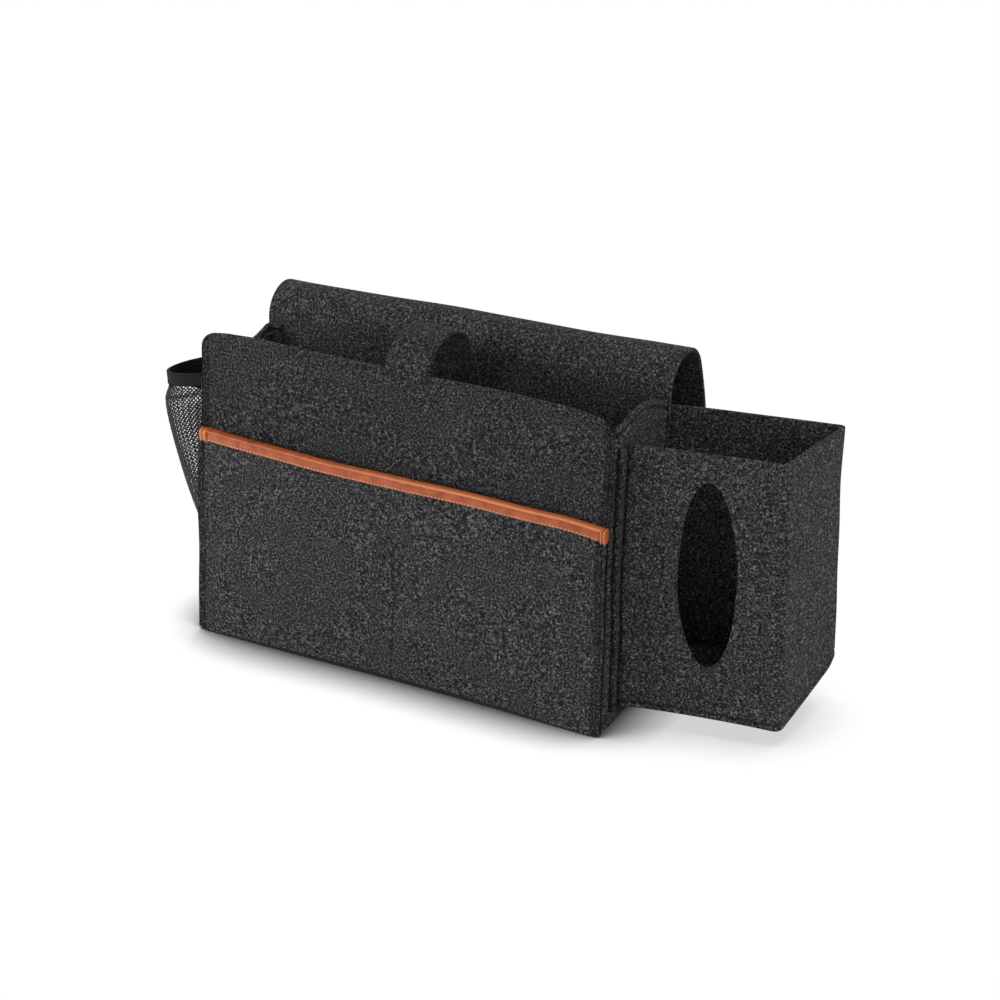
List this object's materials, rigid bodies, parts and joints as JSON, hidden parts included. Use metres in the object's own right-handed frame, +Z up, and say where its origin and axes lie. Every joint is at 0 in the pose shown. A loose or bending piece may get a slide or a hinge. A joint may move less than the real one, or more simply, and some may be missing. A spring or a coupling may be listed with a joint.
{
  "type": "bedside caddy",
  "caption": "Felt bedside caddy with a wide main pocket, a front pocket with leather trim, a tissue pocket, a net bottle pocket and a mattress flap.",
  "frame": {"origin": "middle of the main pocket's floor, at the level it stands on", "axes": "+X to the viewer's right, towards the tissue pocket; +Y to the back, towards the flap; +Z up"},
  "size_m": [0.5243, 0.2074, 0.266],
  "materials": {
    "felt": "needled polyester felt, 3 mm, heathered charcoal",
    "leather": "smooth tan artificial leather, folded and stitched",
    "net": "knitted polyester net",
    "elastic": "woven elastic tape",
    "binding": "woven polyester tape"
  },
  "bodies": {
    "caddy": {"front_wall": "felt", "front_pocket_panel": "felt", "leather_trim": "leather", "trim_end_left": "leather", "trim_end_right": "leather", "left_gusset": "felt", "right_gusset": "felt", "bottom_panel": "felt", "back_panel": "felt", "arch_bend": "felt", "centre_bridge": "felt", "tissue_front": "felt", "tissue_side": "felt", "tissue_back": "felt", "tissue_bottom": "felt", "bottle_net": "net", "elastic_collar": "elastic", "net_binding": "binding"},
    "flap": {"mattress_flap": "felt"}
  },
  "joints": [
    {"name": "mattress_flap_fold", "type": "hinge", "parent": "caddy", "child": "flap", "pos_m": [0, 0.076, 0.228], "axis": [0.9999, 0.0145, 0], "range_deg": [-8, 75], "deforming": ["arch_bend"]}
  ]
}
